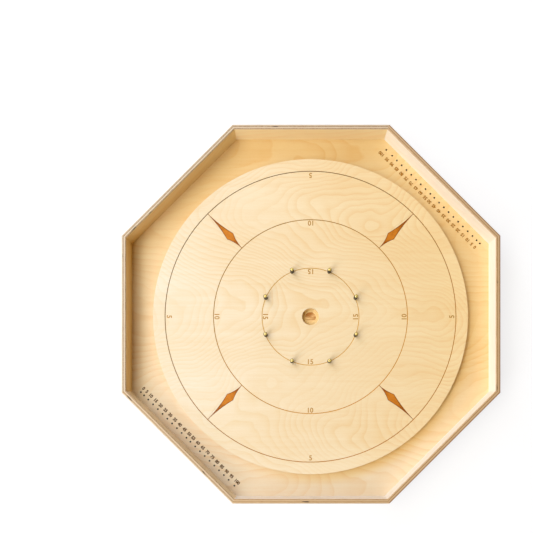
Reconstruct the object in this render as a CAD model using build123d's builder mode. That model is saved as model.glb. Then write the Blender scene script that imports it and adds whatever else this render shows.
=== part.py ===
from build123d import *
import os
from math import cos, radians, sin, tan

# Crokinole board: an octagonal birch plywood tray. A round playing surface stands in it on the base
# panel, with a ditch all round. All sizes are in millimetres.
# The origin is on the table under the middle of the board, +Z is up and +Y points away from the
# player who sits at the south rail.

os.makedirs("parts", exist_ok=True)

# ---- driving dimensions ----------------------------------------------------------------------
sides = 8
side_names = ["east", "northeast", "north", "northwest", "west", "southwest", "south", "southeast"]
side_step = 360 / sides
board_width = 774.7                 # across the flats, outside the rails
rail_thickness = 9.5
rail_height = 50.8
rail_edge_round = 1.4

foot_height = 6.0
base_thickness = 12.0
surface_thickness = 12.0
surface_radius = 330.2              # a 26 inch playing surface
surface_edge_round = 0.4

ring_radii = [101.6, 203.2, 304.8]  # the 15, 10 and 5 rings: 4, 8 and 12 inches
line_width = 1.6
engraving_depth = 0.3

hole_radius = 17.46                 # the 20 hole: 1 3/8 inches across
hole_depth = 9.5
hole_bottom_round = 6.0
hole_rim_round = 0.6

marker_count = 4                    # long diamonds that mark the quarters, between the outer rings
marker_start = 45
marker_widest_at = 238.3            # distance of their widest place from the middle
marker_half_width = 9.1
marker_tip_half_width = 0.5         # their tips run out into the ring lines
marker_edge_hollow = 2.0            # how far their four edges bend inwards

post_count = 8
post_names = ["ene", "nne", "nnw", "wnw", "wsw", "ssw", "sse", "ese"]
post_start = side_step / 2
sleeve_radius = 3.9
sleeve_height = 17.0
sleeve_edge = 0.4
post_head_radius = 3.2
post_head_height = 2.8
post_head_rim = 0.5                 # height of the head's edge, below its dome
post_shank_radius = 2.1
post_screw_length = 31.75           # under the head
drive_width = 2.4                   # square drive recess, in the other screws too
drive_depth = 1.6

row_sides = [45, 225]               # directions of the two ditch floors with a scoring row
row_distance = 365.5                # from the middle of the board to the row of holes
row_hole_radius = 1.9
row_hole_depth = 7.0
row_pitch = 14.3
row_half_gap = 5.95                 # the 50 and 55 holes stand each side of the rail's middle
row_run = 9                         # holes at the full pitch on each half
row_gap_5 = 12.7                    # from the 10 hole to the 5 hole
row_gap_0 = 9.5                     # from the 5 hole to the 0 hole
row_gap_100 = 17.4                  # from the 95 hole to the 100 hole

clearance = 0.05                    # between a screw or nail and the wood round it

surface_screw_rings = [(285.0, 8), (150.0, 4)]
surface_screw_length = 20.0
surface_screw_radius = 2.05
surface_screw_head_radius = 4.1
surface_screw_head_height = 2.4

foot_circle = 336.0
foot_count = 4
foot_start = 45
foot_top_radius = 12.7
foot_bottom_radius = 11.0
foot_recess_radius = 4.8
foot_recess_depth = 3.2
foot_edge_round = 0.8
foot_screw_radius = 1.75
foot_screw_head_radius = 3.7
foot_screw_head_height = 2.3
foot_screw_edge_width = 0.6         # its slanting edge
foot_screw_edge_height = 0.9
foot_screw_length = 12.0

brad_radius = 0.8
brad_head_radius = 1.2
brad_head_height = 0.6
brad_length = 32.0
brad_sink = 0.3                     # how far a brad's head is set below the rail's face
brad_pitches = 7.5                  # from a scoring row's 50 hole to a brad, so midway between two holes

# ---- worked out from them --------------------------------------------------------------------
rail_outside = board_width / 2
rail_inside = rail_outside - rail_thickness
half_side = tan(radians(side_step / 2))
base_bottom = foot_height
base_top = base_bottom + base_thickness
surface_top = base_top + surface_thickness
hole_floor = surface_top - hole_depth
post_circle = ring_radii[0]
sleeve_top = surface_top + sleeve_height
brad_level = base_bottom + base_thickness / 2
brad_spread = row_half_gap + brad_pitches * row_pitch
brad_places = [-brad_spread, 0, brad_spread]


def facing(angle, level):
    """A level plane at a height above the table, with its x axis pointing out at an angle."""
    return Plane(origin=(0, 0, level), x_dir=(cos(radians(angle)), sin(radians(angle)), 0), z_dir=(0, 0, 1))


def against(angle, distance, level):
    """An upright plane that faces outwards at an angle, at a distance from the middle."""
    out = Vector(cos(radians(angle)), sin(radians(angle)), 0)
    return Plane(origin=out * distance + Vector(0, 0, level), x_dir=(-out.Y, out.X, 0), z_dir=out)


def at_circle(radius, angle, level):
    """A level plane centred on a point of a circle round the middle."""
    spot = (radius * cos(radians(angle)), radius * sin(radians(angle)), level)
    return Plane(origin=spot, x_dir=(cos(radians(angle)), sin(radians(angle)), 0), z_dir=(0, 0, 1))


def finish(name, built):
    """Label a finished piece and write it to its own file."""
    built.part.label = name
    export_step(built.part, f"parts/{name}.step")


# ---- base panel ------------------------------------------------------------------------------
# Hole positions along a scoring row, measured from the rail's middle towards the 0 end.
low_half = [row_half_gap + row_pitch * k for k in range(row_run)]
high_half = [-place for place in low_half]
row_end_5 = low_half[-1] + row_gap_5
row_end_0 = row_end_5 + row_gap_0
row_end_100 = high_half[-1] - row_gap_100
row_places = high_half + low_half + [row_end_5, row_end_0, row_end_100]

with BuildPart() as base_panel:
    with BuildSketch(Plane.XY.offset(base_bottom)):
        RegularPolygon(rail_inside, sides, major_radius=False, rotation=side_step / 2)
    extrude(amount=base_thickness)
    for direction in row_sides:
        with BuildSketch(facing(direction, base_top)):
            with Locations([(row_distance, -place) for place in row_places]):
                Circle(row_hole_radius)
        extrude(amount=-row_hole_depth, mode=Mode.SUBTRACT)
    # pilot holes for the tips of the post screws
    with BuildSketch(Plane.XY.offset(base_top)):
        with PolarLocations(post_circle, post_count, start_angle=post_start):
            Circle(post_shank_radius + clearance)
    extrude(amount=-(post_screw_length - sleeve_height - surface_thickness + clearance), mode=Mode.SUBTRACT)
    # countersunk holes for the screws that hold the playing surface
    for screw_circle, screw_count in surface_screw_rings:
        with Locations(Plane.XY.offset(base_bottom)):
            with PolarLocations(screw_circle, screw_count, start_angle=post_start):
                Cylinder(
                    surface_screw_radius + clearance,
                    base_thickness,
                    align=(Align.CENTER, Align.CENTER, Align.MIN),
                    mode=Mode.SUBTRACT,
                )
                Cone(
                    surface_screw_head_radius + clearance,
                    surface_screw_radius + clearance,
                    surface_screw_head_height,
                    align=(Align.CENTER, Align.CENTER, Align.MIN),
                    mode=Mode.SUBTRACT,
                )
    # holes for the foot screws
    with BuildSketch(Plane.XY.offset(base_bottom)):
        with PolarLocations(foot_circle, foot_count, start_angle=foot_start):
            Circle(foot_screw_radius + clearance)
    extrude(amount=foot_screw_length - foot_height + foot_recess_depth + clearance, mode=Mode.SUBTRACT)
    # holes for the brads, in from each edge
    for side in range(sides):
        with BuildSketch(against(side * side_step, rail_inside, brad_level)):
            with Locations([(place, 0) for place in brad_places]):
                Circle(brad_radius + clearance)
        extrude(amount=-(brad_length + brad_sink - rail_thickness + clearance), mode=Mode.SUBTRACT)
finish("base_panel", base_panel)

# ---- playing surface -------------------------------------------------------------------------
marker_corners = [
    (ring_radii[1], marker_tip_half_width),
    (marker_widest_at, marker_half_width),
    (ring_radii[2], marker_tip_half_width),
    (ring_radii[2], -marker_tip_half_width),
    (marker_widest_at, -marker_half_width),
    (ring_radii[1], -marker_tip_half_width),
]
with BuildSketch() as marker:
    with BuildLine():
        for start, end in ((0, 1), (1, 2), (3, 4), (4, 5)):
            SagittaArc(marker_corners[start], marker_corners[end], marker_edge_hollow)
        Line(marker_corners[2], marker_corners[3])
        Line(marker_corners[5], marker_corners[0])
    make_face()

with BuildPart() as playing_surface:
    with BuildSketch(Plane.XY.offset(base_top)):
        Circle(surface_radius)
    extrude(amount=surface_thickness)
    fillet(playing_surface.edges().sort_by(Axis.Z)[-1], surface_edge_round)
    # the 20 hole, with a rounded bottom corner and an eased rim
    with BuildSketch(Plane.XZ):
        with BuildLine():
            Line((0, hole_floor), (hole_radius - hole_bottom_round, hole_floor))
            TangentArc(
                (hole_radius - hole_bottom_round, hole_floor),
                (hole_radius, hole_floor + hole_bottom_round),
                tangent=(1, 0),
            )
            Line((hole_radius, hole_floor + hole_bottom_round), (hole_radius, surface_top - hole_rim_round))
            TangentArc(
                (hole_radius, surface_top - hole_rim_round),
                (hole_radius + hole_rim_round, surface_top),
                tangent=(0, 1),
            )
            Polyline((hole_radius + hole_rim_round, surface_top), (0, surface_top), (0, hole_floor))
        make_face()
    revolve(axis=Axis.Z, mode=Mode.SUBTRACT)
    # engraved ring lines and quarter markers, from the outer ring inwards
    with BuildSketch(Plane.XY.offset(surface_top)):
        for radius in reversed(ring_radii):
            Circle(radius + line_width / 2)
            Circle(radius - line_width / 2, mode=Mode.SUBTRACT)
        with PolarLocations(0, marker_count, start_angle=marker_start):
            add(marker.sketch)
    extrude(amount=-engraving_depth, mode=Mode.SUBTRACT)
    # holes for the posts' screws, right through
    with BuildSketch(Plane.XY.offset(surface_top)):
        with PolarLocations(post_circle, post_count, start_angle=post_start):
            Circle(post_shank_radius + clearance)
    extrude(amount=-surface_thickness, mode=Mode.SUBTRACT)
    # pilot holes for the screws that come up through the base
    with BuildSketch(Plane.XY.offset(base_top)):
        for screw_circle, screw_count in surface_screw_rings:
            with PolarLocations(screw_circle, screw_count, start_angle=post_start):
                Circle(surface_screw_radius + clearance)
    extrude(amount=surface_screw_length - base_thickness + clearance, mode=Mode.SUBTRACT)
finish("playing_surface", playing_surface)

# ---- rails -----------------------------------------------------------------------------------
for side, side_name in enumerate(side_names):
    direction = side * side_step
    with BuildPart() as rail:
        with BuildSketch(facing(direction, base_bottom)):
            with BuildLine():
                Polyline(
                    (rail_inside, -rail_inside * half_side),
                    (rail_outside, -rail_outside * half_side),
                    (rail_outside, rail_outside * half_side),
                    (rail_inside, rail_inside * half_side),
                    close=True,
                )
            make_face()
        extrude(amount=rail_height)
        along = Axis((0, 0, 0), against(direction, 0, 0).x_dir)
        long_edges = rail.edges().filter_by(along)
        fillet(long_edges.sort_by(Axis.Z)[2:], rail_edge_round)
        # brad holes through to the base panel's edge, with a seat for each head
        with BuildSketch(against(direction, rail_outside, brad_level)):
            with Locations([(place, 0) for place in brad_places]):
                Circle(brad_radius + clearance)
        extrude(amount=-rail_thickness, mode=Mode.SUBTRACT)
        with BuildSketch(against(direction, rail_outside, brad_level)):
            with Locations([(place, 0) for place in brad_places]):
                Circle(brad_head_radius + clearance)
        extrude(amount=-(brad_sink + brad_head_height), mode=Mode.SUBTRACT)
    finish(f"rail_{side_name}", rail)

# ---- rail brads ------------------------------------------------------------------------------
with BuildPart() as rail_brads:
    for side in range(sides):
        with BuildSketch(against(side * side_step, rail_outside - brad_sink, brad_level)):
            with Locations([(place, 0) for place in brad_places]):
                Circle(brad_head_radius)
        extrude(amount=-brad_head_height)
        with BuildSketch(against(side * side_step, rail_outside - brad_sink, brad_level)):
            with Locations([(place, 0) for place in brad_places]):
                Circle(brad_radius)
        extrude(amount=-brad_length)
finish("rail_brads", rail_brads)

# ---- posts: a rubber sleeve held by a round-head brass screw -----------------------------------
for number, post_name in enumerate(post_names):
    direction = post_start + number * side_step
    with BuildPart() as post_sleeve:
        with BuildSketch(at_circle(post_circle, direction, surface_top)):
            Circle(sleeve_radius)
            Circle(post_shank_radius + clearance, mode=Mode.SUBTRACT)
        extrude(amount=sleeve_height)
        rims = post_sleeve.edges().filter_by(GeomType.CIRCLE).sort_by(SortBy.RADIUS)[-2:]
        chamfer(rims, sleeve_edge)
    finish(f"post_sleeve_{post_name}", post_sleeve)

    head_plane = at_circle(post_circle, direction, sleeve_top)
    with BuildPart() as post_screw:
        with BuildSketch(Plane(origin=head_plane.origin, x_dir=head_plane.x_dir, z_dir=-head_plane.y_dir)):
            with BuildLine():
                TangentArc((0, post_head_height), (post_head_radius, post_head_rim), tangent=(1, 0))
                Polyline(
                    (post_head_radius, post_head_rim),
                    (post_head_radius, 0),
                    (post_shank_radius, 0),
                    (post_shank_radius, -post_screw_length + 2 * post_shank_radius),
                    (0, -post_screw_length),
                    (0, post_head_height),
                )
            make_face()
        revolve(axis=Axis(head_plane.origin, (0, 0, 1)))
        with BuildSketch(at_circle(post_circle, direction, sleeve_top + post_head_height)):
            Rectangle(drive_width, drive_width)
        extrude(amount=-drive_depth, mode=Mode.SUBTRACT)
    finish(f"post_screw_{post_name}", post_screw)

# ---- screws that hold the playing surface, up through the base panel ----------------------------
with BuildPart() as surface_screw:
    with BuildSketch(Plane.XZ):
        with BuildLine():
            Polyline(
                (0, 0),
                (surface_screw_head_radius, 0),
                (surface_screw_radius, surface_screw_head_height),
                (surface_screw_radius, surface_screw_length - 2 * surface_screw_radius),
                (0, surface_screw_length),
                close=True,
            )
        make_face()
    revolve(axis=Axis.Z)
    with BuildSketch():
        Rectangle(drive_width, drive_width)
    extrude(amount=drive_depth, mode=Mode.SUBTRACT)

with BuildPart() as surface_screws:
    with Locations(Plane.XY.offset(base_bottom)):
        for screw_circle, screw_count in surface_screw_rings:
            with PolarLocations(screw_circle, screw_count, start_angle=post_start):
                add(surface_screw.part)
finish("surface_screws", surface_screws)

# ---- feet and their screws -----------------------------------------------------------------------
for number in range(foot_count):
    direction = foot_start + number * 360 / foot_count
    with BuildPart() as foot:
        with BuildSketch(at_circle(foot_circle, direction, 0)):
            Circle(foot_bottom_radius)
        with BuildSketch(at_circle(foot_circle, direction, foot_height)):
            Circle(foot_top_radius)
        loft()
        fillet(foot.edges().sort_by(Axis.Z)[0], foot_edge_round)
        with BuildSketch(at_circle(foot_circle, direction, 0)):
            Circle(foot_recess_radius)
        extrude(amount=foot_recess_depth, mode=Mode.SUBTRACT)
        with BuildSketch(at_circle(foot_circle, direction, 0)):
            Circle(foot_screw_radius + clearance)
        extrude(amount=foot_height, mode=Mode.SUBTRACT)
    finish(f"foot_{side_names[int(direction / side_step)]}", foot)

with BuildPart() as foot_screw:
    with BuildSketch(Plane.XZ):
        with BuildLine():
            Polyline(
                (0, -foot_screw_head_height),
                (foot_screw_head_radius - foot_screw_edge_width, -foot_screw_head_height),
                (foot_screw_head_radius, -foot_screw_head_height + foot_screw_edge_height),
                (foot_screw_head_radius, 0),
                (foot_screw_radius, 0),
                (foot_screw_radius, foot_screw_length - 2 * foot_screw_radius),
                (0, foot_screw_length),
                close=True,
            )
        make_face()
    revolve(axis=Axis.Z)
    with BuildSketch(Plane.XY.offset(-foot_screw_head_height)):
        Rectangle(drive_width, drive_width)
    extrude(amount=drive_depth, mode=Mode.SUBTRACT)

with BuildPart() as foot_screws:
    with Locations(Plane.XY.offset(foot_recess_depth)):
        with PolarLocations(foot_circle, foot_count, start_angle=foot_start):
            add(foot_screw.part)
finish("foot_screws", foot_screws)
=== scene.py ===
"""Looks of the crokinole board: birch, engraving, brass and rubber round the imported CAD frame."""
from math import cos, pi, radians, sin
from typing import NamedTuple

import bmesh
import bpy
from mathutils import Matrix, Vector


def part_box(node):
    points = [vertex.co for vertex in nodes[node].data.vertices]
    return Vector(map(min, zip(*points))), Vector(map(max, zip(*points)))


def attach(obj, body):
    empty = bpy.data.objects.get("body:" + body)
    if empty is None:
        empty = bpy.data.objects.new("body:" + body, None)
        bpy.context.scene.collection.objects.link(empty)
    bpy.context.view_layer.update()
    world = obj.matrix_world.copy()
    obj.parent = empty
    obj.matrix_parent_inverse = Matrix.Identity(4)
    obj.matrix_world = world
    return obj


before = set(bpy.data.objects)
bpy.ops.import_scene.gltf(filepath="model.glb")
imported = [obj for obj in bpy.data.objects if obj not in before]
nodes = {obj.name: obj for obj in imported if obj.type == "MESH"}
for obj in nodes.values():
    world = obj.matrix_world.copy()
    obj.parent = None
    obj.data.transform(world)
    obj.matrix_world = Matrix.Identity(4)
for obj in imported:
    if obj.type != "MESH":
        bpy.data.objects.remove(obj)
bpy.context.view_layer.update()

# ---- sizes, in metres, from the frame ----------------------------------------------------------
MM = 0.001
SURFACE_LOW, SURFACE_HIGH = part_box("playing_surface")
SURFACE_RADIUS = SURFACE_HIGH.x
SURFACE_TOP = SURFACE_HIGH.z
BASE_LOW, BASE_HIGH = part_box("base_panel")
BASE_TOP = BASE_HIGH.z
RAIL_LOW, RAIL_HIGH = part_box("rail_east")
RAIL_INSIDE = RAIL_LOW.x
RAIL_OUTSIDE = RAIL_HIGH.x

# The rings are 4, 8 and 12 inches from the middle, on a surface of 13 inches radius.
INCH = SURFACE_RADIUS / 13
RING_RADII = {15: 4 * INCH, 10: 8 * INCH, 5: 12 * INCH}
LINE_WIDTH = 1.5 * MM
LINE_SINK = 0.1 * MM
GROOVE_DEPTH = 0.3 * MM
LIFT = 0.04 * MM                        # how far the burnt numerals stand above the wood
HOLE_RADIUS = 17.46 * MM                # the centre hole, without its eased rim

# ---- procedural materials ----------------------------------------------------------------------


def colour(red, green, blue):
    """A linear colour with alpha, from the 0 to 255 numbers of a paint chart."""
    linear = []
    for value in (red, green, blue):
        share = value / 255
        linear.append(share / 12.92 if share <= 0.04045 else ((share + 0.055) / 1.055) ** 2.4)
    return (*linear, 1.0)


class Paint:
    """One procedural material. Its methods add nodes, and return the socket that holds the result."""

    def __init__(self, name, metallic=0.0):
        self.material = bpy.data.materials.new(name)
        self.material.use_nodes = True
        self.tree = self.material.node_tree
        self.shader = self.tree.nodes["Principled BSDF"]
        self.shader.inputs["Metallic"].default_value = metallic
        self.place = self.node("ShaderNodeTexCoord").outputs["Object"]
        self.normal = self.node("ShaderNodeNewGeometry").outputs["Normal"]

    def node(self, kind, **settings):
        made = self.tree.nodes.new(kind)
        for name, value in settings.items():
            setattr(made, name, value)
        return made

    def join(self, socket, value):
        """Links a socket to another one, or sets it to a plain number or colour."""
        if isinstance(value, bpy.types.NodeSocket):
            self.tree.links.new(value, socket)
        else:
            socket.default_value = value

    def math(self, operation, first, second=0.0, clamp=False):
        made = self.node("ShaderNodeMath", operation=operation, use_clamp=clamp)
        self.join(made.inputs[0], first)
        self.join(made.inputs[1], second)
        return made.outputs[0]

    def step(self, value, low, high, start=0.0, end=1.0):
        """A smooth change from start to end as value goes from low to high."""
        made = self.node("ShaderNodeMapRange", interpolation_type="SMOOTHSTEP")
        for socket, given in zip(made.inputs, (value, low, high, start, end)):
            self.join(socket, given)
        return made.outputs[0]

    def line(self, value, low, high, start=0.0, end=1.0):
        """An even change from start to end as value goes from low to high."""
        made = self.node("ShaderNodeMapRange", clamp=True)
        for socket, given in zip(made.inputs, (value, low, high, start, end)):
            self.join(socket, given)
        return made.outputs[0]

    def split(self, vector):
        made = self.node("ShaderNodeSeparateXYZ")
        self.join(made.inputs[0], vector)
        return made.outputs[0], made.outputs[1], made.outputs[2]

    def vector(self, x, y, z):
        made = self.node("ShaderNodeCombineXYZ")
        for socket, given in zip(made.inputs, (x, y, z)):
            self.join(socket, given)
        return made.outputs[0]

    def mapped(self, vector, scale=(1, 1, 1), turn=0.0, shift=(0, 0, 0)):
        """The vector scaled, turned about Z and shifted."""
        made = self.node("ShaderNodeMapping")
        self.join(made.inputs["Vector"], vector)
        made.inputs["Scale"].default_value = scale
        made.inputs["Rotation"].default_value = (0, 0, turn)
        made.inputs["Location"].default_value = shift
        return made.outputs[0]

    def noise(self, vector, scale=(1, 1, 1), shift=(0, 0, 0), detail=2.0, roughness=0.5, warp=0.0):
        made = self.node("ShaderNodeTexNoise")
        self.join(made.inputs["Vector"], self.mapped(vector, scale, shift=shift))
        made.inputs["Scale"].default_value = 1.0
        made.inputs["Detail"].default_value = detail
        made.inputs["Roughness"].default_value = roughness
        made.inputs["Distortion"].default_value = warp
        return made.outputs["Fac"]

    def mix(self, factor, first, second):
        made = self.node("ShaderNodeMix", data_type="RGBA")
        self.join(made.inputs[0], factor)
        self.join(made.inputs[6], first)
        self.join(made.inputs[7], second)
        return made.outputs[2]

    def finish(self, base_colour, roughness, height, bump_depth):
        """Feeds the shader and returns the material."""
        bump = self.node("ShaderNodeBump")
        bump.inputs["Strength"].default_value = 1.0
        bump.inputs["Distance"].default_value = bump_depth
        self.join(bump.inputs["Height"], height)
        self.join(self.shader.inputs["Normal"], bump.outputs[0])
        self.join(self.shader.inputs["Base Color"], base_colour)
        self.join(self.shader.inputs["Roughness"], roughness)
        return self.material


class Figure(NamedTuple):
    """How a sheet of birch was peeled off its log. Its grain runs along x.

    The growth rings come out as the contour lines of a rolling height: `taper` lines to the metre along
    the grain, `swing` lines to and fro in each `girth` of the log across the grain, and bumps of up to
    `bumps` lines. A line is `contrast` of the way to the darkest figure."""
    seed: float
    taper: float
    swing: float
    girth: float
    bumps: float
    contrast: float


def birch_rings(paint, grain, figure):
    """The growth rings of a peeled sheet: 0 between the lines, and up to 1 on them."""
    seed = figure.seed
    along, across, _ = paint.split(grain)
    turn = paint.math("MULTIPLY", across, 2 * pi / figure.girth)
    hills = paint.noise(grain, (3.1, 4.3, 4.3), (seed, 0, 0), detail=0.0)
    folds = paint.noise(grain, (9.0, 10.0, 10.0), (0, seed, 0), detail=0.0)
    ripples = paint.noise(grain, (24, 24, 24), (seed, seed, 0), detail=1.0)
    height = paint.math("MULTIPLY", along, figure.taper)
    sway = paint.math("MULTIPLY", paint.math("COSINE", turn), figure.swing)
    height = paint.math("SUBTRACT", height, sway)
    for bumps, share in ((hills, 1.0), (folds, 0.75), (ripples, 0.13)):
        height = paint.math("ADD", height, paint.math("MULTIPLY", bumps, share * figure.bumps))
    ring = paint.math("FRACT", height)
    rise = paint.math("POWER", paint.line(ring, 0.1, 0.9), 2.2)
    ring = paint.math("MULTIPLY", rise, paint.step(ring, 0.9, 1.0, 1.0, 0.0))
    shown = paint.noise(grain, (3.2, 7.5, 7.5), (seed, seed, 0), detail=1.0)
    return paint.math("MULTIPLY", ring, paint.step(shown, 0.34, 0.6, 0.4, 1.0))


def birch_face(paint, grain, figure, light, dark):
    """Colour and fine relief of a birch face veneer."""
    seed = figure.seed
    clouds = paint.noise(grain, (4.5, 11, 11), (0, 0, seed), detail=3.0, roughness=0.55)
    streaks = paint.noise(grain, (2.2, 120, 120), (seed, 0, 2 * seed), detail=1.5, roughness=0.6)
    fibre = paint.noise(grain, (45, 1100, 1100), (0, seed, seed), detail=2.0, roughness=0.6)
    flecks = paint.noise(grain, (170, 2600, 2600), (seed, 0, seed), detail=0.0)
    depth = paint.math("MULTIPLY", birch_rings(paint, grain, figure), figure.contrast)
    depth = paint.math("ADD", depth, paint.line(clouds, 0.3, 0.7, -0.05, 0.3))
    depth = paint.math("ADD", depth, paint.line(streaks, 0.3, 0.7, -0.07, 0.13))
    depth = paint.math("ADD", depth, paint.line(fibre, 0.25, 0.75, -0.08, 0.1))
    depth = paint.math("ADD", depth, paint.step(flecks, 0.7, 0.82, 0.0, 0.4), clamp=True)
    return paint.mix(depth, light, dark), fibre


SURFACE_FIGURE = Figure(seed=3.7, taper=40, swing=7, girth=0.44, bumps=10.5, contrast=0.36)
BASE_FIGURE = Figure(seed=11.3, taper=16, swing=4, girth=0.36, bumps=5, contrast=0.36)

# Each tone is a pair of colours: the clear wood, and its darkest figure.
# BIRCH_PALE and BIRCH_GOLD are blended across the disc, pale to the west: partly the veneer's own tone,
# partly painted sheen of the light from the west.
BIRCH_PALE = (colour(237, 231, 222), colour(226, 206, 164))
BIRCH_GOLD = (colour(251, 231, 187), colour(238, 195, 125))
# DITCH_PALE and DITCH_GOLD are blended across the ditch, pale to the south-west: partly the wood's own tone,
# partly painted sheen of the light from the south-west.
DITCH_PALE = (colour(238, 228, 214), colour(228, 198, 158))
# a painted warm tint of the disc's shadow on the ditch, round the disc's south-east side
DITCH_SHADOW_WARMTH = (colour(240, 212, 148), colour(228, 180, 100))
DITCH_GOLD = (colour(237, 211, 161), colour(225, 180, 110))
# RAIL_PALE is painted on inner faces that face the light, RAIL_GOLD on those in shade: painted light and
# shade.
RAIL_PALE = (colour(248, 246, 243), colour(243, 235, 221))
RAIL_GOLD = (colour(255, 237, 186), colour(249, 208, 138))
PLY_CREAM = colour(242, 214, 168)
PLY_BROWN = colour(204, 146, 86)
PLY_TOP_PALE = (colour(214, 192, 160), colour(172, 132, 92))
PLY_TOP_GOLD = (colour(226, 217, 202), colour(146, 112, 84))
# painted shade on the rounded outer edge of the rails that face away from the light
PLY_RIM_SHADE = colour(146, 98, 56)
PLY_VOID = colour(74, 52, 34)
HOLE_WALL = colour(234, 208, 152)
HOLE_PALE = colour(246, 214, 158)
HOLE_BROWN = colour(176, 114, 48)
# inside the peg holes: partly burnt wood, partly painted shade of the deep holes
HOLE_BURN_AND_SHADE_DARK = colour(8, 6, 6)
HOLE_BURN_AND_SHADE_BROWN = colour(44, 24, 8)


def across_board(paint, towards, start, end, first=0.0, last=1.0):
    """An even change from first to last across the board, in the direction `towards`.

    The change starts and ends at these shares of the playing surface's radius."""
    x, y, _ = paint.split(paint.place)
    run = paint.math("MULTIPLY", x, towards[0] / SURFACE_RADIUS)
    run = paint.math("ADD", run, paint.math("MULTIPLY", y, towards[1] / SURFACE_RADIUS))
    return paint.line(run, start, end, first, last)


def toned(paint, pale, gold, towards, start=-1.0, end=1.0):
    """Two sets of colours blended across the board, from pale to gold in the direction `towards`."""
    share = across_board(paint, towards, start, end)
    return [paint.mix(share, first, second) for first, second in zip(pale, gold)]


def reach_of(paint):
    """How far a point is from the upright axis in the middle of the board."""
    x, y, _ = paint.split(paint.place)
    squares = paint.math("ADD", paint.math("MULTIPLY", x, x), paint.math("MULTIPLY", y, y))
    return paint.math("SQRT", squares)


HOLE_FLOOR_REACH = (11.2 * MM, 11.8 * MM)       # where the hole's floor gives way to its wall
HOLE_BROWN_RUN = (-9 * MM, 7 * MM)              # the floor gets browner along y between these
HOLE_BAND = 2.6 * MM                            # height of one pair of plies in the wall


def hole_colour(paint, reach):
    """The centre hole: a golden wall, and a floor that cuts through browner streaks of the plies."""
    _, y, z = paint.split(paint.place)
    streaks = paint.noise(paint.place, (60, 420, 420), (5, 0, 0), detail=2.0, roughness=0.6, warp=0.2)
    patches = paint.line(streaks, 0.3, 0.7, -0.6, 0.6)
    brown = paint.math("ADD", patches, paint.line(y, *HOLE_BROWN_RUN, 0.0, 0.85))
    floor = paint.mix(paint.math("ADD", brown, 0.0, clamp=True), HOLE_PALE, HOLE_BROWN)
    bands = paint.math("SINE", paint.math("MULTIPLY", z, 2 * pi / HOLE_BAND))
    wall = paint.mix(paint.line(bands, -1.0, 1.0, 0.0, 0.3), HOLE_WALL, HOLE_BROWN)
    return paint.mix(paint.step(reach, *HOLE_FLOOR_REACH), floor, wall)


SURFACE_PLIES = 9


def playing_surface_material():
    """The disc: a clear birch face on top, thin plies round its edge and in the centre hole."""
    paint = Paint("lacquered_birch_surface")
    # pale on the west side, gold on the east: partly the veneer's own tone, partly painted sheen of the light
    # from the west
    light, dark = toned(paint, BIRCH_PALE, BIRCH_GOLD, (0.95, 0.25))
    face, fibre = birch_face(paint, paint.place, SURFACE_FIGURE, light, dark)
    reach = reach_of(paint)
    _, _, z = paint.split(paint.place)
    normal_x, normal_y, normal_z = paint.split(paint.normal)
    layer = paint.line(z, SURFACE_LOW.z, SURFACE_TOP, 0.01, SURFACE_PLIES - 0.01)
    odd = paint.math("MODULO", paint.math("FLOOR", layer), 2.0)
    # a ply shows dark end grain where its grain points out of the edge
    end_even = paint.math("ABSOLUTE", normal_x)
    end_odd = paint.math("ABSOLUTE", normal_y)
    turned = paint.math("SUBTRACT", end_odd, end_even)
    end_grain = paint.math("ADD", end_even, paint.math("MULTIPLY", turned, odd))
    speckle = paint.noise(paint.place, (900, 900, 1500), detail=2.0)
    end_grain = paint.math("MULTIPLY", end_grain, 0.8)
    end_grain = paint.math("ADD", end_grain, paint.line(speckle, 0.3, 0.7, -0.2, 0.2))
    edge = paint.mix(end_grain, PLY_CREAM, PLY_BROWN)
    upright = paint.step(paint.math("ABSOLUTE", normal_z), 0.1, 0.3, 1.0, 0.0)
    body = paint.mix(upright, face, edge)
    in_hole = paint.step(reach, HOLE_RADIUS, HOLE_RADIUS + 0.2 * MM, 1.0, 0.0)
    body = paint.mix(in_hole, body, hole_colour(paint, reach))
    rough = paint.line(fibre, 0.25, 0.75, 0.42, 0.52)
    return paint.finish(body, rough, fibre, 0.05 * MM)


SHADOW_WARMTH_WIDTH = 32 * MM                            # of the band on the ditch, beside the disc, where the disc's shadow is painted warmer


def base_panel_material():
    """The ditch floor: warmer birch, a painted warm shadow tint beside the disc, and peg holes painted dark
    inside, partly burnt and partly painted shade.
    """
    paint = Paint("lacquered_birch_base")
    # pale to the south-west, gold to the north: partly the wood's own tone, partly painted sheen of the light
    # from the south-west
    tones = toned(paint, DITCH_PALE, DITCH_GOLD, (0.45, 0.89), -1.0, 0.35)
    # beside the disc, round its south-east side, the ditch is painted warmer: a painted warm tint of the
    # disc's shadow there
    beside = paint.step(reach_of(paint), SURFACE_RADIUS, SURFACE_RADIUS + SHADOW_WARMTH_WIDTH, 1.0, 0.0)
    shadow_warmth = paint.math("MULTIPLY", beside, across_board(paint, (0.6, -0.8), 0.4, 1.1))
    light, dark = (paint.mix(shadow_warmth, tone, deep) for tone, deep in zip(tones, DITCH_SHADOW_WARMTH))
    face, fibre = birch_face(paint, paint.place, BASE_FIGURE, light, dark)
    _, _, z = paint.split(paint.place)
    # the peg holes are painted dark inside: partly burnt wood, partly painted shade of the deep holes
    inside = paint.step(z, BASE_TOP - 0.1 * MM, BASE_TOP - 0.02 * MM, 1.0, 0.0)
    below = paint.step(z, BASE_LOW.z + 0.2 * MM, BASE_LOW.z + 0.5 * MM)
    burn_and_shade, = toned(paint, [HOLE_BURN_AND_SHADE_DARK], [HOLE_BURN_AND_SHADE_BROWN], (0.7, 0.7))
    body = paint.mix(paint.math("MULTIPLY", inside, below), face, burn_and_shade)
    rough = paint.line(fibre, 0.25, 0.75, 0.44, 0.54)
    return paint.finish(body, rough, fibre, 0.05 * MM)


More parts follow.
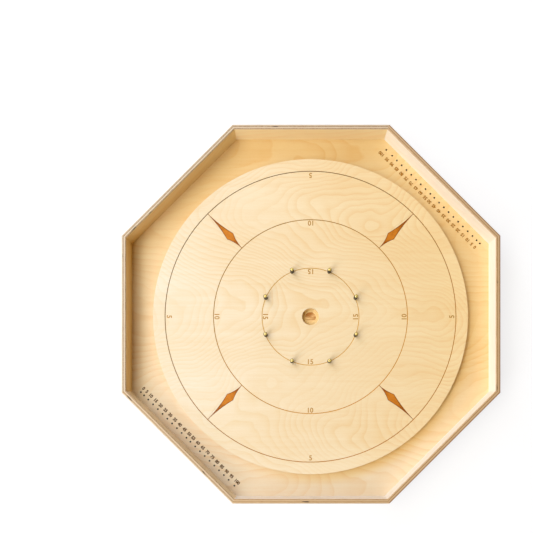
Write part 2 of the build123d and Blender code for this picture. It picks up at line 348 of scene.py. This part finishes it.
OUTER_FACE_PALENESS = 0.4
RAIL_PLY_JOINTS = (0.4 * MM, 2.0 * MM, 4.5 * MM, 6.8 * MM)     # from the inner face outwards
GLUE = 0.05 * MM
RIM_START = 2.4 * MM                            # the painted shade on the outermost ply deepens between these depths
RIM_END = 1.6 * MM


def rail_material(name, angle, seed, paleness, shaded_rim):
    """A rail cut from birch plywood, seen on its face and, on its top edge, ply by ply.

    Every other ply shows brown end grain. With a last argument of 1, not 0, the outermost ply is one of
    those,
    and a darker brown is laid over it: painted shade on the rounded outer edge, which faces away from the
    light."""
    paint = Paint(name)
    turned = paint.mapped(paint.place, turn=-angle)
    outward, along, up = paint.split(turned)
    _, _, normal_z = paint.split(paint.normal)
    grain = paint.vector(along, up, 0.0)
    middle = (RAIL_INSIDE + RAIL_OUTSIDE) / 2
    # inner faces painted pale where they face the light, gold where they are in shade: painted light and
    # shade
    face_paleness = paint.step(outward, middle - MM, middle + MM, paleness, OUTER_FACE_PALENESS)
    light, dark = (paint.mix(face_paleness, gold, pale) for gold, pale in zip(RAIL_GOLD, RAIL_PALE))
    figure = Figure(seed, taper=14, swing=3, girth=0.25, bumps=3, contrast=0.3)
    face, fibre = birch_face(paint, grain, figure, light, dark)
    end_grain = shaded_rim
    for number, depth in enumerate(RAIL_PLY_JOINTS):
        joint = RAIL_INSIDE + depth
        change = (1 - 2 * shaded_rim) * (-1) ** number
        crossed = paint.step(outward, joint - GLUE, joint + GLUE, 0.0, change)
        end_grain = paint.math("ADD", end_grain, crossed)
    edge_grain = paint.vector(along, outward, seed)
    long_streaks = paint.noise(edge_grain, (60, 1500, 1), (seed, 0, 0), detail=2.0)
    end_specks = paint.noise(edge_grain, (520, 900, 1), (0, seed, 0), detail=3.0, roughness=0.65)
    ply_tones = zip(PLY_TOP_GOLD, PLY_TOP_PALE)
    ply_light, ply_dark = (paint.mix(paleness, gold, pale) for gold, pale in ply_tones)
    cream = paint.mix(paint.line(long_streaks, 0.3, 0.7, 0.0, 0.3), ply_light, ply_dark)
    brown = paint.mix(paint.line(end_specks, 0.35, 0.65, 0.5, 1.0), ply_light, ply_dark)
    edge = paint.mix(end_grain, cream, brown)
    # painted shade on the outermost ply of the rails whose outer edge faces away from the light
    rim_shade = paint.step(outward, RAIL_OUTSIDE - RIM_START, RAIL_OUTSIDE - RIM_END, 0.0, 0.8 * shaded_rim)
    edge = paint.mix(rim_shade, edge, PLY_RIM_SHADE)
    gap = paint.noise(edge_grain, (34, 160, 1), (seed, seed, 0), detail=1.0)
    void = paint.math("MULTIPLY", paint.step(gap, 0.7, 0.74), end_grain)
    edge = paint.mix(void, edge, PLY_VOID)
    level = paint.step(paint.math("ABSOLUTE", normal_z), 0.1, 0.3)
    body = paint.mix(level, face, edge)
    rough = paint.line(fibre, 0.25, 0.75, 0.46, 0.56)
    pit = paint.math("MULTIPLY", void, level)
    height = paint.math("SUBTRACT", fibre, paint.math("MULTIPLY", pit, 6.0))
    return paint.finish(body, rough, height, 0.05 * MM)


def brass_material():
    """Bright machined brass with faint rubbing marks."""
    paint = Paint("polished_brass", metallic=1.0)
    marks = paint.noise(paint.place, (700, 2600, 2600), detail=3.0)
    tarnish = paint.noise(paint.place, (260, 260, 260), (4, 0, 0), detail=2.0)
    body = paint.mix(paint.line(tarnish, 0.35, 0.7), colour(255, 249, 190), colour(255, 236, 148))
    return paint.finish(body, paint.line(marks, 0.3, 0.7, 0.3, 0.42), marks, 0.01 * MM)


def rubber_material(name, tone, low, high):
    """Black moulded rubber with a fine pebbled skin."""
    paint = Paint(name)
    paint.shader.inputs["Specular IOR Level"].default_value = 0.15
    pebbles = paint.noise(paint.place, (1500, 1500, 1500), detail=2.0)
    dust = paint.noise(paint.place, (220, 220, 220), (0, 9, 0), detail=3.0)
    body = paint.mix(paint.line(dust, 0.4, 0.75), tone, colour(28, 27, 26))
    return paint.finish(body, paint.line(dust, 0.3, 0.7, low, high), pebbles, 0.03 * MM)


def steel_material():
    """Zinc plated steel with its faint spangle."""
    paint = Paint("zinc_plated_steel", metallic=1.0)
    spangle = paint.noise(paint.place, (900, 900, 900), detail=2.0)
    body = paint.mix(paint.line(spangle, 0.35, 0.65), colour(186, 188, 190), colour(146, 150, 156))
    return paint.finish(body, paint.line(spangle, 0.3, 0.7, 0.28, 0.42), spangle, 0.01 * MM)


def burnt_material(name, light, dark, towards=None):
    """Wood burnt by a laser: blotchy brown. With towards, it lightens in that direction from the middle."""
    paint = Paint(name)
    paint.shader.inputs["Specular IOR Level"].default_value = 0.15
    blotches = paint.noise(paint.place, (240, 240, 240), detail=3.0, roughness=0.6)
    char = paint.noise(paint.place, (2200, 2200, 2200), (3, 0, 0), detail=2.0)
    depth = paint.line(blotches, 0.3, 0.7, 0.15, 0.85)
    if towards is not None:
        lighter = across_board(paint, towards, -0.8, 0.8, 1.0, 0.0)
        depth = paint.math("SUBTRACT", lighter, paint.math("MULTIPLY", depth, 0.2), clamp=True)
    rough = paint.line(char, 0.3, 0.7, 0.6, 0.8)
    return paint.finish(paint.mix(depth, light, dark), rough, char, 0.04 * MM)


def marker_material():
    """The orange stain in the quarter markers, deeper towards their tips."""
    paint = Paint("amber_stain")
    paint.shader.inputs["Specular IOR Level"].default_value = 0.25
    reach = reach_of(paint)
    inner = paint.step(reach, RING_RADII[10] + 12 * MM, MARKER_WIDEST - 4 * MM, 1.0, 0.0)
    outer = paint.step(reach, MARKER_WIDEST + 10 * MM, RING_RADII[5] - 22 * MM)
    fibre = paint.noise(paint.place, (90, 1400, 1400), detail=3.0)
    blotches = paint.noise(paint.place, (160, 160, 160), detail=2.0)
    depth = paint.math("MAXIMUM", inner, outer)
    depth = paint.math("ADD", depth, paint.line(blotches, 0.3, 0.7, -0.15, 0.3))
    depth = paint.math("ADD", depth, paint.line(fibre, 0.3, 0.7, -0.1, 0.15), clamp=True)
    body = paint.mix(depth, colour(208, 130, 36), colour(158, 84, 12))
    return paint.finish(body, paint.line(fibre, 0.3, 0.7, 0.45, 0.6), fibre, 0.05 * MM)


def floor_material():
    """A plain pale studio floor with a faint paper tooth, which fades out far from the board.

    It glows like the lit floor of a light tent. It looks near white, and it lights what faces it."""
    paint = Paint("pale_floor")
    tooth = paint.noise(paint.place, (700, 700, 700), detail=3.0)
    wash = paint.noise(paint.place, (3, 3, 3), detail=2.0)
    body = paint.mix(wash, colour(150, 153, 160), colour(146, 149, 157))
    material = paint.finish(body, paint.line(tooth, 0.3, 0.7, 0.85, 0.95), tooth, 0.02 * MM)
    reach = reach_of(paint)
    paint.shader.inputs["Emission Color"].default_value = (0.99, 1.0, 1.03, 1.0)
    seen = paint.node("ShaderNodeLightPath").outputs["Is Camera Ray"]
    glow = paint.line(seen, 0.0, 1.0, FLOOR_GLOW_ON_BOARD, FLOOR_GLOW)
    paint.join(paint.shader.inputs["Emission Strength"], glow)
    paint.join(paint.shader.inputs["Alpha"], paint.step(reach, FLOOR_FADE_START, FLOOR_FADE_END, 1.0, 0.0))
    return material


def dress(name, material):
    """Gives a CAD node its material."""
    for place in nodes[name].material_slots:
        place.material = material


SIDE_NAMES = ("east", "northeast", "north", "northwest", "west", "southwest", "south", "southeast")
SIDE_STEP = pi / 4
# the rails whose inner faces face the light are painted pale, those in shade golden: painted light and shade;
# the same numbers pick the ply tones of the top edges
RAIL_PALENESS = (1.0, 1.0, 0.2, 0.1, 0.0, 0.5, 1.0, 1.0)
# the rails whose outer edges face away from the light get painted shade on their outermost ply
RAIL_SHADED_RIMS = (1, 1, 0, 0, 0, 0, 0, 1)

dress("playing_surface", playing_surface_material())
dress("base_panel", base_panel_material())
for number, side in enumerate(SIDE_NAMES):
    seed = 1.7 + 2.3 * number
    wood = rail_material(f"birch_ply_rail_{side}", number * SIDE_STEP, seed,
                         RAIL_PALENESS[number], RAIL_SHADED_RIMS[number])
    dress(f"rail_{side}", wood)
brass = brass_material()
sleeve_rubber = rubber_material("sleeve_rubber_skin", colour(7, 8, 9), 0.24, 0.36)
foot_rubber = rubber_material("foot_rubber_skin", colour(24, 24, 24), 0.6, 0.75)
steel = steel_material()
for name in nodes:
    if name.startswith("post_screw"):
        dress(name, brass)
    elif name.startswith("post_sleeve"):
        dress(name, sleeve_rubber)
    elif name.startswith("foot_") and name != "foot_screws":
        dress(name, foot_rubber)
    elif name in ("foot_screws", "surface_screws", "rail_brads"):
        dress(name, steel)

# ---- engraving: burnt lines, stained markers and numerals ----------------------------------------


def add_piece(name, mesh, material):
    """Puts a mesh in the scene as a piece of the board."""
    piece = bpy.data.objects.new(name, mesh)
    bpy.context.scene.collection.objects.link(piece)
    mesh.materials.append(material)
    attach(piece, "root")
    return piece


RING_STEPS = 288
LINE_HOLLOW = 0.08 * MM


def ring_line(name, radius, material):
    """A burnt line with a shallow hollow, lying in the groove that the CAD surface has for it."""
    half = LINE_WIDTH / 2
    top = SURFACE_TOP - LINE_SINK
    floor = SURFACE_TOP - GROOVE_DEPTH
    low = top - LINE_HOLLOW
    profile = [(-half, floor), (-half, top), (-half / 2, low), (half / 2, low), (half, top), (half, floor)]
    points = []
    faces = []
    count = len(profile)
    for step in range(RING_STEPS):
        angle = 2 * pi * step / RING_STEPS
        for out, level in profile:
            points.append(((radius + out) * cos(angle), (radius + out) * sin(angle), level))
        here = step * count
        there = (step + 1) % RING_STEPS * count
        for corner in range(count):
            after = (corner + 1) % count
            faces.append((here + corner, there + corner, there + after, here + after))
    mesh = bpy.data.meshes.new(name)
    mesh.from_pydata(points, [], faces)
    return add_piece(name, mesh, material)


def prism(outline, low, high, bevel):
    """A closed flat solid over an outline, with a slightly eased upper edge, as a bmesh."""
    shape = bmesh.new()
    bottom = [shape.verts.new((x, y, low)) for x, y in outline]
    face = shape.faces.new(bottom)
    raised = bmesh.ops.extrude_face_region(shape, geom=[face])
    for vertex in raised["geom"]:
        if isinstance(vertex, bmesh.types.BMVert):
            vertex.co.z = high
    upper = [edge for edge in shape.edges if all(vertex.co.z == high for vertex in edge.verts)]
    bmesh.ops.bevel(shape, geom=upper, offset=bevel, segments=2, affect="EDGES")
    bmesh.ops.recalc_face_normals(shape, faces=shape.faces)
    return shape


def hollow_side(start, end, hollow, steps=10):
    """Points from start up to end, along a side that bends by `hollow` to the left of that way."""
    way = end - start
    left = Vector((-way.y, way.x)).normalized()
    points = []
    for step in range(steps):
        share = step / steps
        points.append(start + way * share + left * (hollow * 4 * share * (1 - share)))
    return points


MARKER_WIDEST = 238.3 * MM
MARKER_HALF_WIDTH = 9.1 * MM
MARKER_TIP = 0.5 * MM
MARKER_HOLLOW = 2.0 * MM


def marker_outline(angle, inner, outer, half_width, tip):
    """The long diamond of a quarter marker, pointing out at an angle, with narrow blunt tips."""
    corners = [Vector((inner, -tip)), Vector((MARKER_WIDEST, -half_width)), Vector((outer, -tip)),
               Vector((outer, tip)), Vector((MARKER_WIDEST, half_width)), Vector((inner, tip))]
    outline = []
    for number, corner in enumerate(corners):
        after = corners[(number + 1) % len(corners)]
        at_tip = number in (2, 5)
        outline += [corner] if at_tip else hollow_side(corner, after, MARKER_HOLLOW)
    turn = Matrix.Rotation(angle, 2)
    return [tuple(turn @ point) for point in outline]


def joined(name, shapes, material):
    """One piece out of several bmesh solids."""
    mesh = bpy.data.meshes.new(name)
    whole = bmesh.new()
    for shape in shapes:
        part = bpy.data.meshes.new("part")
        shape.to_mesh(part)
        whole.from_mesh(part)
        shape.free()
        bpy.data.meshes.remove(part)
    whole.to_mesh(mesh)
    whole.free()
    return add_piece(name, mesh, material)


def numeral(text, height, narrow, thicken, centre, angle, level):
    """A number as a thin solid. It stands `height` tall, with its top towards the middle of the board."""
    curve = bpy.data.curves.new("numeral", "FONT")
    curve.body = text
    curve.align_x = "CENTER"
    curve.offset = thicken
    curve.extrude = 0.5
    curve.resolution_u = 5
    writer = bpy.data.objects.new("numeral", curve)
    bpy.context.scene.collection.objects.link(writer)
    bpy.context.view_layer.update()
    written = writer.evaluated_get(bpy.context.evaluated_depsgraph_get())
    mesh = bpy.data.meshes.new_from_object(written)
    bpy.data.objects.remove(writer)
    bpy.data.curves.remove(curve)
    shape = bmesh.new()
    shape.from_mesh(mesh)
    bpy.data.meshes.remove(mesh)
    bmesh.ops.remove_doubles(shape, verts=shape.verts, dist=1e-5)
    low = min(vertex.co.y for vertex in shape.verts)
    high = max(vertex.co.y for vertex in shape.verts)
    left = min(vertex.co.x for vertex in shape.verts)
    right = max(vertex.co.x for vertex in shape.verts)
    scale = height / (high - low)
    shape.transform(Matrix.Translation((-(left + right) / 2, -(low + high) / 2, 0)))
    shape.transform(Matrix.Diagonal((scale * narrow, scale, 2 * LIFT, 1)))
    shape.transform(Matrix.Rotation(angle + pi / 2, 4, "Z"))
    shape.transform(Matrix.Translation((centre.x, centre.y, level)))
    return shape


def spot(radius, angle, aside=0.0):
    """A point at a distance out from the middle, and aside to the left of that direction."""
    return Vector((radius * cos(angle) - aside * sin(angle), radius * sin(angle) + aside * cos(angle)))


LINE_TONE_WAY = (0.7, -0.7)                      # the ring lines change tone along this direction, darker to the north-west: partly the burn, partly painted shade in the groove
ROW_TONE_WAY = (0.7, 0.7)                        # and the row numerals along this one
LINE_TONES = {
    15: (colour(222, 172, 84), colour(182, 148, 74)),
    10: (colour(204, 142, 20), colour(128, 98, 12)),
    5: (colour(180, 118, 8), colour(84, 64, 4)),
}
numeral_burn = burnt_material("burnt_numeral", colour(200, 154, 78), colour(170, 128, 54))
row_burn = burnt_material("burnt_row_numeral", colour(158, 104, 14), colour(70, 44, 16), ROW_TONE_WAY)
marker_edge = burnt_material("burnt_marker_edge", colour(146, 80, 2), colour(108, 58, 2))
stain = marker_material()

for score, radius in RING_RADII.items():
    burn = burnt_material(f"burnt_line_{score}", *LINE_TONES[score], LINE_TONE_WAY)
    ring_line(f"ring_line_{score}", radius, burn)

MARKER_GAP = 0.05 * MM                          # between a marker's edge and its groove
MARKER_EASE = 0.02 * MM
FILL_IN = 4 * MM                                # how much shorter the stain is than its outline
FILL_OUT = 11 * MM
FILL_EDGE = 0.9 * MM                            # width of the burnt edge beside the stain
FILL_TIP = 0.1 * MM
EDGE_SINK = 0.16 * MM
FILL_SINK = 0.1 * MM
edges = []
fills = []
for quarter in range(4):
    angle = pi / 4 + quarter * pi / 2
    inner = RING_RADII[10] + LINE_WIDTH / 2
    outer = RING_RADII[5] - LINE_WIDTH / 2
    half_width = MARKER_HALF_WIDTH - MARKER_GAP
    outline = marker_outline(angle, inner, outer, half_width, MARKER_TIP - MARKER_GAP)
    edges.append(prism(outline, SURFACE_TOP - GROOVE_DEPTH, SURFACE_TOP - EDGE_SINK, MARKER_EASE))
    half_width = MARKER_HALF_WIDTH - FILL_EDGE
    outline = marker_outline(angle, inner + FILL_IN, outer - FILL_OUT, half_width, FILL_TIP)
    fills.append(prism(outline, SURFACE_TOP - GROOVE_DEPTH, SURFACE_TOP - FILL_SINK, MARKER_EASE))
joined("marker_edges", edges, marker_edge)
joined("marker_fills", fills, stain)

NUMERAL_HEIGHT = 10.7 * MM
NUMERAL_NARROW = 0.96                           # width, as a share of the font's own
NUMERAL_THICKEN = 0.02                          # how far the strokes are widened, in font units
NUMERAL_IN_FROM_LINE = {15: 7.1 * MM, 10: 7.2 * MM, 5: 8.8 * MM}
for score, radius in RING_RADII.items():
    shapes = []
    for quarter in range(4):
        angle = quarter * pi / 2
        place = spot(radius - NUMERAL_IN_FROM_LINE[score], angle)
        shapes.append(numeral(str(score), NUMERAL_HEIGHT, NUMERAL_NARROW, NUMERAL_THICKEN, place, angle,
                              SURFACE_TOP))
    joined(f"ring_numerals_{score}", shapes, numeral_burn)

ROW_NUMERAL_HEIGHT = 7.3 * MM
ROW_NUMERAL_NARROW = 0.95
ROW_NUMERAL_THICKEN = 0.045
ROW_NUMERAL_RADIUS = {"northeast": 352.0 * MM, "southwest": 355.5 * MM}
ROW_NUMERAL_SHIFT = {"northeast": 2.0 * MM, "southwest": -1.2 * MM}
ROW_PITCH = 14.3 * MM
ROW_HALF_GAP = 5.95 * MM
ROW_END_PLACES = {5: 133.05 * MM, 0: 142.55 * MM, 100: -137.75 * MM}
ROW_PLACES = dict(ROW_END_PLACES)
for number in range(9):
    ROW_PLACES[50 - 5 * number] = ROW_HALF_GAP + ROW_PITCH * number
    ROW_PLACES[55 + 5 * number] = -ROW_HALF_GAP - ROW_PITCH * number
for side, radius in ROW_NUMERAL_RADIUS.items():
    angle = SIDE_NAMES.index(side) * SIDE_STEP
    shapes = []
    for value, aside in ROW_PLACES.items():
        place = spot(radius, angle, ROW_NUMERAL_SHIFT[side] - aside)
        shapes.append(numeral(str(value), ROW_NUMERAL_HEIGHT, ROW_NUMERAL_NARROW, ROW_NUMERAL_THICKEN,
                              place, angle, BASE_TOP))
    joined(f"row_numerals_{side}", shapes, row_burn)

# ---- floor, light and camera ---------------------------------------------------------------------
FLOOR_REACH = 6.0
FLOOR_FADE_START = 1.0
FLOOR_FADE_END = 2.8
FLOOR_GLOW = 0.75
FLOOR_GLOW_ON_BOARD = 0.55
LIGHT_DISTANCE = 3.6
FILL_LIGHT = (0.144, 0.076, 0.007, 1.0)
BACKDROP = (1.0, 1.0, 1.0, 1.0)
LOW_ELEVATION = 28
LOW_SIZE = 1.8
HIGH_ELEVATION = 48
HIGH_SIZE = 1.6
HIGH_TINT = (1.0, 0.95, 0.76)
# azimuth, power of the low lamp, power of the high lamp, tint of the low lamp
SOFTBOXES = (
    (135, 35, 19, (0.96, 1.01, 1.25)),
    (180, 4, 16, (0.97, 0.98, 1.2)),
    (225, 50, 16, (1.0, 0.98, 1.0)),
)
CAMERA_LENS = 34.009
CAMERA_SHIFT = (-0.0536, 0.2815)
CAMERA_PLACE = (-32.4 * MM, -209.3 * MM, 1085.2 * MM)


def add_floor():
    """A wide plain floor under the board."""
    corners = [(-1, -1, 0), (1, -1, 0), (1, 1, 0), (-1, 1, 0)]
    mesh = bpy.data.meshes.new("studio_floor")
    mesh.from_pydata([Vector(corner) * FLOOR_REACH for corner in corners], [], [(0, 1, 2, 3)])
    mesh.materials.append(floor_material())
    floor = bpy.data.objects.new("studio_floor", mesh)
    bpy.context.scene.collection.objects.link(floor)


def add_softbox(name, azimuth, elevation, size, power, tint=(1.0, 1.0, 1.0)):
    """A square area light that looks at the middle of the board."""
    light = bpy.data.lights.new(name, "AREA")
    light.color = tint
    light.shape = "SQUARE"
    light.size = size
    light.energy = power
    lamp = bpy.data.objects.new(name, light)
    bpy.context.scene.collection.objects.link(lamp)
    level = cos(radians(elevation))
    out = Vector((cos(radians(azimuth)) * level, sin(radians(azimuth)) * level, sin(radians(elevation))))
    lamp.location = out * LIGHT_DISTANCE
    lamp.rotation_euler = out.to_track_quat("Z", "Y").to_euler()
    lamp.visible_camera = False


def add_world(fill, backdrop):
    """Weak even light from all round, in front of a pale backdrop."""
    world = bpy.data.worlds.new("studio_air")
    world.use_nodes = True
    tree = world.node_tree
    air = tree.nodes["Background"]
    rays = tree.nodes.new("ShaderNodeLightPath")
    seen = tree.nodes.new("ShaderNodeMix")
    seen.data_type = "RGBA"
    tree.links.new(rays.outputs["Is Camera Ray"], seen.inputs[0])
    seen.inputs[6].default_value = fill
    seen.inputs[7].default_value = backdrop
    tree.links.new(seen.outputs[2], air.inputs["Color"])
    bpy.context.scene.world = world


def add_camera():
    """The camera looks straight down from above the near half of the board."""
    camera = bpy.data.cameras.new("camera")
    camera.sensor_width = 36.0
    camera.lens = CAMERA_LENS
    camera.shift_x, camera.shift_y = CAMERA_SHIFT
    viewer = bpy.data.objects.new("camera", camera)
    bpy.context.scene.collection.objects.link(viewer)
    viewer.location = CAMERA_PLACE
    bpy.context.scene.camera = viewer


add_floor()
add_world(FILL_LIGHT, BACKDROP)
for azimuth, low_power, high_power, tint in SOFTBOXES:
    add_softbox(f"low_softbox_{azimuth}", azimuth, LOW_ELEVATION, LOW_SIZE, low_power, tint)
    add_softbox(f"high_softbox_{azimuth}", azimuth, HIGH_ELEVATION, HIGH_SIZE, high_power, HIGH_TINT)
add_softbox("far_softbox", azimuth=90, elevation=28, size=1.8, power=13, tint=(1.0, 1.03, 1.16))
add_softbox("top_softbox", azimuth=180, elevation=66, size=2.5, power=51.5, tint=(1.0, 0.93, 0.71))
add_camera()
bpy.context.scene.view_settings.view_transform = "Standard"
